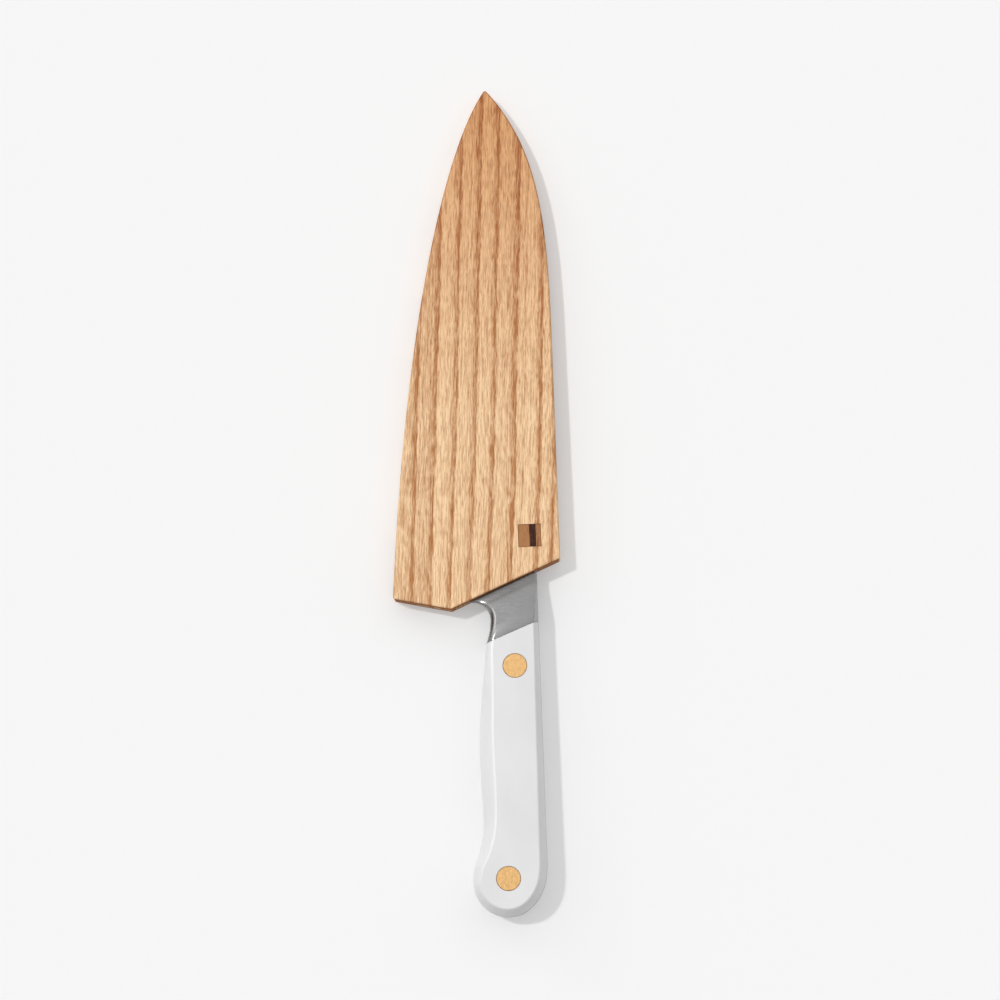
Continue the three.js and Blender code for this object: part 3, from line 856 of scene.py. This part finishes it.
def roundEdge(steps, height=handle["roundHeight"]):
    turns = [i / (steps - 1) * math.pi / 2 for i in range(steps)]
    arc = [(1 - math.cos(turn), 1 - height * (1 - math.sin(turn))) for turn in turns]
    return [(0.0, 0.0), *arc]


def easedRamp(done, length):
    # share of the height, with a steady slope between the eased ends
    easeIn, easeOut = bolsterSizes["easeIn"], bolsterSizes["easeOut"]
    slope = 1 / (length - (easeIn + easeOut) / 2)
    if done < easeIn:
        return slope * done ** 2 / (2 * easeIn)
    if done > length - easeOut:
        return 1 - slope * (length - done) ** 2 / (2 * easeOut)
    return slope * (done - easeIn / 2)


def bolster():
    length = bolsterSizes["rise"] + handle["seamDrop"]
    steps = handle["profileSteps"]
    rings = []
    for station in range(-1, bolsterSizes["stations"] + 1):
        share = -bolsterSizes["root"] / length if station < 0 else station / bolsterSizes["stations"]
        ahead = max(0.0, share)
        spineY = bolsterSizes["rise"] - length * share
        slope = mix(flankSlope, seamSlope, ahead)
        start = (blade["edge"] if station < 0 else blade["spine"]) / 2
        half = mix(start, handleHalf(handleStart), easedRamp(ahead * length, length))
        # thin sections are round over all their height
        wall = min(tangFace, mix(0.1 * half, tangFace, ahead))
        belly = mix(bolsterSizes["firstRounding"], bolsterSizes["rounding"], ahead)
        spine = mix(bolsterSizes["firstEase"], bolsterSizes["spineRounding"], ahead ** 2)
        height = min(0.95, handle["roundHeight"] * (handleHalf(handleStart) - tangFace) / (half - wall))
        bellyX = bellyOnLine(spineY, slope)
        over = [(bellyX + belly * across, up) for across, up in roundEdge(steps, height)]
        over += [(-spine * across, up) for across, up in reversed(facetEdge(steps))]
        ring = [(x, spineY + slope * x, wall + (half - wall) * up) for x, up in over]
        rings.append(ring + [(x, y, -z) for x, y, z in reversed(ring)])
    return loft("bolster", rings)


def spline(points, steps):
    # smooth curve through the points
    padded = [points[0], *points, points[-1]]
    curve = []
    for a, b, c, d in zip(padded, padded[1:], padded[2:], padded[3:]):
        for i in range(steps):
            t = i / steps
            curve.append(b + (c - a) * (t / 2) + (a * 2 - b * 5 + c * 4 - d) * (t * t / 2)
                         + (b * 3 - a - c * 3 + d) * (t ** 3 / 2))
    return [*curve, points[-1]]


def buttEnd():
    # a quarter of an ellipse from the belly to the lowest point, and another up to the spine
    points = []
    for step in range(2 * handle["endArcs"] + 1):
        turn = math.pi * (1 + step / (2 * handle["endArcs"]))
        reach, rise = handle["endBelow"], handle["endAtSpine"]
        if step < handle["endArcs"]:
            reach, rise = handle["buttDepth"] - handle["endBelow"], handle["endAtBelly"]
        points.append(Vector((reach * math.cos(turn) - handle["endBelow"],
                              handleStart - handle["length"] + rise * (1 + math.sin(turn)))))
    return points


def handleOutline(ahead):
    # from the belly at the bolster round the butt, to the spine; ahead starts it under the bolster
    def along(share):
        return handleStart - share * handle["length"]
    stations = [
        Vector((-bolsterSizes["depth"], bellyTop)),
        Vector((-handle["frontDepth"], handleStart - seamSlope * handle["frontDepth"])),
        Vector((-handle["gripDepth"], along(handle["gripShare"]))),
        Vector((-handle["waistDepth"], along(handle["waistShare"]))),
        *(Vector((-depth * handle["buttDepth"], along(length))) for depth, length in handle["flare"]),
        *buttEnd(),
    ]
    curve = spline(stations, handle["spanSteps"])
    if ahead is None:
        return [*curve, Vector((0.0, bellyTop))]
    seam = [p for p in curve if p.y < handleStart + seamSlope * p.x + ahead]
    return [*seam, Vector((0.0, handleStart + ahead))]


rivets = {
    "head": 10.0,
    "headDepth": 2.2,
    "rimEase": 0.22,
    "tube": 6.8,
    "pin": 4.6,
    "fit": 0.1,
    "seatFit": 0.05,
    "frontInset": 18.3,
    "frontBelow": 10.1,
    "rearInset": 15.2,
    "rearBelow": 15.7,
    "sides": 56,
}
rivetPlaces = [
    (-rivets["frontBelow"], handleStart - rivets["frontInset"]),
    (-rivets["rearBelow"], handleStart - handle["length"] + rivets["rearInset"]),
]


def rivetHoles(face=0):
    top = handle["butt"]
    holes = []
    for i, (x, y) in enumerate(rivetPlaces):
        holes.append(post(f"hole{i}", x, y, rivets["tube"] / 2 + rivets["fit"], -top, top))
        if face:
            seat = handleHalf(y) - rivets["headDepth"] - rivets["fit"]
            low, high = sorted((face * seat, face * top))
            holes.append(post(f"seat{i}", x, y, rivets["head"] / 2 + rivets["seatFit"], low, high))
    return holes


forging = bladeWedge()
tangOutline = handleOutline(1.0)
tang = loft("tang", [lift(tangOutline, -tangFace), lift(tangOutline, tangFace)])
combine(forging, [bolster(), tang], "UNION")
combine(forging, rivetHoles(), "DIFFERENCE")
shade(forging, 32)
dress(forging, steel, "knife", "steel", "knife_forging")


# handle scales: flats that thicken to the butt, rounded over more under the fingers

def roundingAt(point, inward):
    along = (handleStart - point.y) / handle["length"]
    closeness = max(0.0, 1 - ((along - handle["fingerMiddle"]) / handle["fingerReach"]) ** 2)
    grown = min(1.0, max(0.0, along) / handle["spineGrowth"])
    spineSide = mix(bolsterSizes["spineRounding"], handle["rounding"], grown)
    plain = mix(handle["rounding"], spineSide, max(0.0, -inward.x))
    return plain + handle["fingerRounding"] * closeness * max(0.0, inward.x)


def facetAt(point):
    if point.x > -handle["frontDepth"] / 2:
        return 1.0
    along = (handleStart - point.y) / handle["length"]
    return easeInOut((along - handle["facetFrom"]) / (handle["facetTo"] - handle["facetFrom"]))


def handleScale(name, face):
    outline = handleOutline(None)
    facets = [facetAt(point) for point in outline]
    rings = []
    for rounded, faceted in zip(roundEdge(handle["profileSteps"]), facetEdge(handle["profileSteps"])):
        drawn = inset(outline, lambda point, inward:
                      mix(rounded[0], faceted[0], facetAt(point)) * roundingAt(point, inward), True)
        rings.append([(p.x, p.y, face * mix(tangFace, handleHalf(p.y), mix(rounded[1], faceted[1], facet)))
                      for p, facet in zip(drawn, facets)])
    scale = loft(name, rings)
    reach = 4 * handle["butt"]
    ahead = block("aheadOfSeam", (-reach, -handle["seamGap"], -reach), (reach, reach, reach),
                  math.radians(handle["seamAngle"]), (0.0, handleStart))
    combine(scale, [ahead, *rivetHoles(face)], "DIFFERENCE")
    shade(scale, 32, (0, 0, 1), (0, face * flatSlope, 1))
    return scale


dress(handleScale("scaleFront", 1), white, "knife", "white_polymer", "handle_scale_front")
dress(handleScale("scaleBack", -1), white, "knife", "white_polymer", "handle_scale_back")


# geometry nodes: a round disc with eased rims, put on points

def openTree(name, sockets):
    tree = bpy.data.node_groups.new(name, "GeometryNodeTree")
    tree.interface.new_socket("Geometry", in_out="OUTPUT", socket_type="NodeSocketGeometry")
    for socketName, kind in sockets:
        tree.interface.new_socket(socketName, in_out="INPUT", socket_type=kind)
    return tree, tree.nodes.new("NodeGroupInput").outputs, tree.nodes.new("NodeGroupOutput").inputs


def raised(tree, geometry, height):
    return addNode(tree, "GeometryNodeTransform", {
        "Geometry": geometry, "Translation": combined(tree, z=height)}).outputs[0]


def joined(tree, shapes):
    join = tree.nodes.new("GeometryNodeJoinGeometry")
    for shape in shapes:
        tree.links.new(shape, join.inputs[0])
    return join.outputs[0]


def easedDiscTree():
    tree, given, result = openTree("easedDisc", [
        ("Radius", "NodeSocketFloat"), ("Depth", "NodeSocketFloat"),
        ("Ease", "NodeSocketFloat"), ("Sides", "NodeSocketInt"),
    ])
    top = calc(tree, "MULTIPLY", given["Depth"], 0.5)
    bottom = calc(tree, "MULTIPLY", given["Depth"], -0.5)
    faceRadius = calc(tree, "SUBTRACT", given["Radius"], given["Ease"])
    easeStart = calc(tree, "SUBTRACT", top, given["Ease"])
    wallDepth = calc(tree, "MULTIPLY", easeStart, 2.0)

    def rim(topRadius, bottomRadius):
        return addNode(tree, "GeometryNodeMeshCone", {
            "Vertices": given["Sides"], "Radius Top": topRadius, "Radius Bottom": bottomRadius,
            "Depth": given["Ease"]}, fill_type="NONE").outputs["Mesh"]

    wall = addNode(tree, "GeometryNodeMeshCylinder", {
        "Vertices": given["Sides"], "Radius": given["Radius"], "Depth": wallDepth,
    }, fill_type="NONE").outputs["Mesh"]
    upper = rim(faceRadius, given["Radius"])
    lower = rim(given["Radius"], faceRadius)
    face = addNode(tree, "GeometryNodeMeshCircle", {
        "Vertices": given["Sides"], "Radius": faceRadius}, fill_type="NGON").outputs["Mesh"]
    under = addNode(tree, "GeometryNodeFlipFaces", {"Mesh": face}).outputs[0]
    shapes = [wall, raised(tree, upper, easeStart), raised(tree, lower, bottom),
              raised(tree, face, top), raised(tree, under, bottom)]
    welded = addNode(tree, "GeometryNodeMergeByDistance", {
        "Geometry": joined(tree, shapes), "Distance": 0.002 * mm}).outputs[0]
    tree.links.new(welded, result[0])
    return tree


easedDisc = easedDiscTree()


def discOn(tree, given):
    disc = tree.nodes.new("GeometryNodeGroup")
    disc.node_tree = easedDisc
    for name in ("Radius", "Depth", "Ease", "Sides"):
        tree.links.new(given[name], disc.inputs[name])
    return disc.outputs[0]


def finishTree(tree, result, geometry, material):
    whole = addNode(tree, "GeometryNodeRealizeInstances", {"Geometry": geometry}).outputs[0]
    coated = addNode(tree, "GeometryNodeSetMaterial", {"Geometry": whole, "Material": material}).outputs[0]
    tree.links.new(coated, result[0])


def pointsObject(name, points, attributes):
    data = bpy.data.meshes.new(name)
    data.from_pydata([at(*point) for point in points], [], [])
    for key, values in attributes.items():
        layer = data.attributes.new(key, "FLOAT", "POINT")
        layer.data.foreach_set("value", values)
    piece = bpy.data.objects.new(name, data)
    bpy.context.scene.collection.objects.link(piece)
    return piece


def growOn(piece, tree, values):
    step = piece.modifiers.new(tree.name, "NODES")
    step.node_group = tree
    for item in tree.interface.items_tree:
        if item.in_out == "INPUT" and item.name in values:
            step[item.identifier] = values[item.name]
    settle(piece)


discSockets = [("Points", "NodeSocketGeometry"), ("Radius", "NodeSocketFloat"), ("Depth", "NodeSocketFloat"),
               ("Ease", "NodeSocketFloat"), ("Sides", "NodeSocketInt"), ("Material", "NodeSocketMaterial")]


def magnetTree():
    tree, given, result = openTree("magnetsOnPoints", discSockets)
    discs = addNode(tree, "GeometryNodeInstanceOnPoints", {
        "Points": given["Points"], "Instance": discOn(tree, given)}).outputs[0]
    finishTree(tree, result, discs, given["Material"])
    return tree


def rivetTree():
    # socket half: front head and a bored tube; pin half: back head and the pin inside the tube
    tree, given, result = openTree("cutlersRivets", [
        *discSockets, ("Tube", "NodeSocketFloat"), ("Pin", "NodeSocketFloat"),
        ("Fit", "NodeSocketFloat"), ("Tilt", "NodeSocketFloat")])
    flat = addNode(tree, "GeometryNodeInputNamedAttribute", {"Name": "flatHeight"},
                   data_type="FLOAT").outputs[0]
    seat = calc(tree, "SUBTRACT", flat, given["Depth"])
    headMiddle = calc(tree, "SUBTRACT", flat, calc(tree, "MULTIPLY", given["Depth"], 0.5))

    def onPoints(shape, height, tilt=0.0, length=1.0):
        points = addNode(tree, "GeometryNodeSetPosition", {
            "Geometry": given["Points"], "Offset": combined(tree, z=height)}).outputs[0]
        turn = addNode(tree, "FunctionNodeEulerToRotation", {0: combined(tree, tilt)}).outputs[0]
        made = addNode(tree, "GeometryNodeInstanceOnPoints", {
            "Points": points, "Instance": shape, "Rotation": turn,
            "Scale": combined(tree, 1.0, 1.0, length)}).outputs[0]
        return addNode(tree, "GeometryNodeRealizeInstances", {"Geometry": made}).outputs[0]

    def rod(radius):
        return addNode(tree, "GeometryNodeMeshCylinder", {
            "Vertices": given["Sides"], "Radius": radius, "Depth": 1.0}, fill_type="NGON").outputs["Mesh"]

    def boolean(operation, first, second):
        made = addNode(tree, "GeometryNodeMeshBoolean", operation=operation, solver="EXACT")
        if operation == "DIFFERENCE":
            tree.links.new(first, made.inputs["Mesh 1"])
            tree.links.new(second, made.inputs["Mesh 2"])
        else:
            for shape in (first, second):
                tree.links.new(shape, made.inputs["Mesh 2"])
        return made.outputs["Mesh"]

    disc = discOn(tree, given)
    lap = calc(tree, "MULTIPLY", given["Ease"], 2.0)
    # the tube runs from inside the front head to just short of the back head
    tubeTop = calc(tree, "ADD", seat, lap)
    tubeEnd = calc(tree, "SUBTRACT", given["Fit"], seat)
    tubeMiddle = calc(tree, "MULTIPLY", calc(tree, "ADD", tubeTop, tubeEnd), 0.5)
    tube = onPoints(rod(given["Tube"]), tubeMiddle, 0.0, calc(tree, "SUBTRACT", tubeTop, tubeEnd))
    heads = onPoints(disc, headMiddle, calc(tree, "MULTIPLY", given["Tilt"], -1.0))
    boreRadius = calc(tree, "ADD", given["Pin"], given["Fit"])
    boreLength = calc(tree, "MULTIPLY", seat, 2.0)
    bore = onPoints(rod(boreRadius), 0.0, 0.0, boreLength)
    sockets = boolean("DIFFERENCE", boolean("UNION", heads, tube), bore)
    pinLow = calc(tree, "MULTIPLY", tubeTop, -1.0)
    pinTop = calc(tree, "SUBTRACT", seat, calc(tree, "MULTIPLY", given["Depth"], 0.5))
    pinMiddle = calc(tree, "MULTIPLY", calc(tree, "ADD", pinTop, pinLow), 0.5)
    pins = onPoints(rod(given["Pin"]), pinMiddle, 0.0, calc(tree, "SUBTRACT", pinTop, pinLow))
    backHeads = onPoints(disc, calc(tree, "MULTIPLY", headMiddle, -1.0), given["Tilt"])
    pinHalves = boolean("UNION", backHeads, pins)
    finishTree(tree, result, joined(tree, [sockets, pinHalves]), given["Material"])
    return tree


magnetHeight = sheath["slot"] / 2 + magnets["recess"] + magnets["thickness"] / 2
magnetPoints = [(x, y, face * magnetHeight) for face in (1, -1) for x, y in magnetPlaces()]
magnetPiece = pointsObject("magnets", magnetPoints, {})
growOn(magnetPiece, magnetTree(), {
    "Radius": magnets["diameter"] / 2 * mm, "Depth": magnets["thickness"] * mm, "Ease": magnets["ease"] * mm,
    "Sides": magnets["sides"], "Material": nickel,
})
shade(magnetPiece, 30)
dress(magnetPiece, None, "sheath", "nickel", *(f"magnet_{leaf}_{i + 1}" for leaf in ("front", "back")
                                              for i in range(magnets["count"])))

rivetPiece = pointsObject("rivets", [(x, y, 0) for x, y in rivetPlaces],
                          {"flatHeight": [handleHalf(y) * mm for x, y in rivetPlaces]})
growOn(rivetPiece, rivetTree(), {
    "Radius": rivets["head"] / 2 * mm, "Depth": rivets["headDepth"] * mm, "Ease": rivets["rimEase"] * mm,
    "Sides": rivets["sides"], "Material": brass, "Tube": rivets["tube"] / 2 * mm,
    "Pin": rivets["pin"] / 2 * mm, "Fit": rivets["fit"] * mm, "Tilt": math.atan(flatSlope),
})
shade(rivetPiece, 30, (0, 0, 1), (0, flatSlope, 1), (0, -flatSlope, 1))
dress(rivetPiece, None, "knife", "brass", "rivet_socket_front", "rivet_socket_rear",
      "rivet_pin_front", "rivet_pin_rear")


# floor: the knife lies on the underside of its butt and the tip of the sheath, leaning to its edge side
floor = {"reach": 6.0, "albedo": 0.9, "below": 0.00002, "lean": -2.0, "paper": 0.93, "glow": 0.3}


def whereSeen(tree):
    # 1 where the camera sees it, straight, in metal or through glass
    path = addNode(tree, "ShaderNodeLightPath").outputs
    seen = calc(tree, "MAXIMUM", path["Is Camera Ray"], path["Is Glossy Ray"])
    return calc(tree, "MAXIMUM", seen, path["Is Transmission Ray"])


def makeFloor():
    across = math.tan(math.radians(floor["lean"]))

    def lowest(node, slope):
        return min(v.co.z - across * v.co.x - slope * v.co.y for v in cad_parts[node].data.vertices)

    low, high = 0.0, 0.1
    for _ in range(40):
        slope = (low + high) / 2
        if lowest("handle_scale_back", slope) < lowest("sheath_back_leaf", slope):
            low = slope
        else:
            high = slope
    level = lowest("sheath_back_leaf", slope) - floor["below"]
    mesh = bmesh.new()
    reach = floor["reach"]
    corners = [(-reach, -reach), (reach, -reach), (reach, reach), (-reach, reach)]
    mesh.faces.new([mesh.verts.new((x, y, level + across * x + slope * y)) for x, y in corners])
    ground = asObject("floor", mesh)
    material, tree, shader = startMaterial("paleFloor")
    grey = floor["albedo"]
    shader.inputs["Base Color"].default_value = (grey, grey, grey, 1.0)
    shader.inputs["Roughness"].default_value = 1.0
    shader.inputs["Specular IOR Level"].default_value = 0.0
    # the paper glows a little where it is seen, which lifts the shadows and lights nothing
    paper = floor["paper"]
    glow = addNode(tree, "ShaderNodeEmission", {"Color": (paper, paper, paper, 1.0)})
    both = addNode(tree, "ShaderNodeMixShader", {
        0: calc(tree, "MULTIPLY", whereSeen(tree), floor["glow"]), 1: shader.outputs[0], 2: glow.outputs[0]})
    tree.links.new(both.outputs[0], tree.nodes["Material Output"].inputs["Surface"])
    ground.data.materials.append(material)


makeFloor()

# one soft key from the upper left, and a studio dome that is brighter overhead and beyond the tip
light = {
    "towards": Vector((-0.419, 0.203, 0.885)).normalized(),
    "key": 1.2,
    "keyAngle": 3.2,
    "dome": 0.312,
    "domeRise": (0.0, 0.41, 0.55),   # what a step along x, y and z adds
    "domeLeast": 0.06,
    "strip": Vector((-0.64, 0.69, 0.33)).normalized(),   # a strip light that draws a line on polished edges
    "stripGlow": 2.2,
    "stripReach": (8.0, 13.0),       # degrees from its middle where it fades
    "horizon": (8.0, 13.0),          # degrees above the ground where the pale backdrop ends
}


def makeLight():
    sun = bpy.data.lights.new("key", "SUN")
    sun.energy = light["key"]
    sun.angle = math.radians(light["keyAngle"])
    lamp = bpy.data.objects.new("key", sun)
    lamp.rotation_euler = light["towards"].to_track_quat("Z", "Y").to_euler()
    bpy.context.scene.collection.objects.link(lamp)
    world = bpy.context.scene.world or bpy.data.worlds.new("studio")
    bpy.context.scene.world = world
    world.use_nodes = True
    tree = world.node_tree
    direction = addNode(tree, "ShaderNodeTexCoord").outputs["Generated"]
    glow = calc(tree, "ADD", dotted(tree, direction, light["domeRise"]), light["dome"])
    glow = calc(tree, "MAXIMUM", glow, light["domeLeast"])
    full, none = (math.cos(math.radians(angle)) for angle in light["stripReach"])
    nearness = dotted(tree, direction, light["strip"])
    strip = remap(tree, nearness, none, full, 0.0, light["stripGlow"], smooth=True)
    glow = calc(tree, "ADD", glow, strip)
    # beyond the floor's rim there is a low backdrop of the same paper
    height = addNode(tree, "ShaderNodeSeparateXYZ", {0: direction}).outputs[2]
    low, high = (math.sin(math.radians(angle)) for angle in light["horizon"])
    backdrop = calc(tree, "MULTIPLY", remap(tree, height, low, high, 1.0, 0.0, smooth=True), whereSeen(tree))
    paper = floor["paper"]
    sky = blendColour(tree, backdrop, glow, (paper, paper, paper, 1.0))
    tree.links.new(sky, tree.nodes["Background"].inputs["Color"])
    tree.nodes["Background"].inputs["Strength"].default_value = 1.0


makeLight()

# camera: almost overhead, a little to the right and turned, as the knife leans in the picture
view = {"distance": 1.4, "width": 0.4144, "tilt": 9.09, "lean": 2.0, "roll": 2.04,
        "target": (0.01066, -0.00104, 0.01), "sensor": 36.0}


def makeCamera():
    tilt, roll = math.radians(view["tilt"]), math.radians(view["roll"])
    lean = Matrix.Rotation(math.radians(view["lean"]), 3, "Y")
    ahead = lean @ Vector((0.0, math.sin(tilt), -math.cos(tilt)))
    across = lean @ Vector((1.0, 0.0, 0.0))
    level = across.cross(ahead)
    right = across * math.cos(roll) - level * math.sin(roll)
    up = across * math.sin(roll) + level * math.cos(roll)
    lens = bpy.data.cameras.new("camera")
    lens.sensor_width = view["sensor"]
    lens.lens = view["sensor"] * view["distance"] / view["width"]
    camera = bpy.data.objects.new("camera", lens)
    turn = Matrix((right, up, -ahead)).transposed().to_4x4()
    camera.matrix_world = Matrix.Translation(Vector(view["target"]) - ahead * view["distance"]) @ turn
    bpy.context.scene.collection.objects.link(camera)
    bpy.context.scene.camera = camera


makeCamera()
bpy.context.scene.view_settings.view_transform = "Standard"
print("floor, light and camera set")
